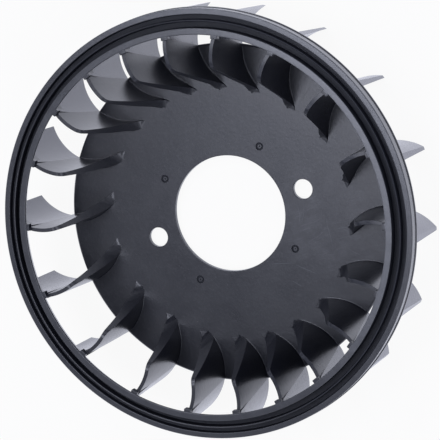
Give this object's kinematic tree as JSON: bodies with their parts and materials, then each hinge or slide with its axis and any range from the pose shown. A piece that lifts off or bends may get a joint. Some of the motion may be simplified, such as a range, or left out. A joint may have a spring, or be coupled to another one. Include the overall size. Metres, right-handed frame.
{
  "type": "engine flywheel fan",
  "caption": "Moulded black plastic radial fan for an engine flywheel: flat bored disc, unevenly spaced curved blades and a grooved front ring.",
  "frame": {"origin": "on the fan's axis, in the plane of the blades' back edges", "axes": "+Z along the axis out of the air inlet, +X through one of the two screw holes"},
  "size_m": [0.246, 0.246, 0.0535],
  "materials": {
    "black_plastic": "satin black moulded plastic with a fine texture and light scuffs on the disc"
  },
  "bodies": {
    "root": {"fan": "black_plastic"}
  },
  "joints": []
}
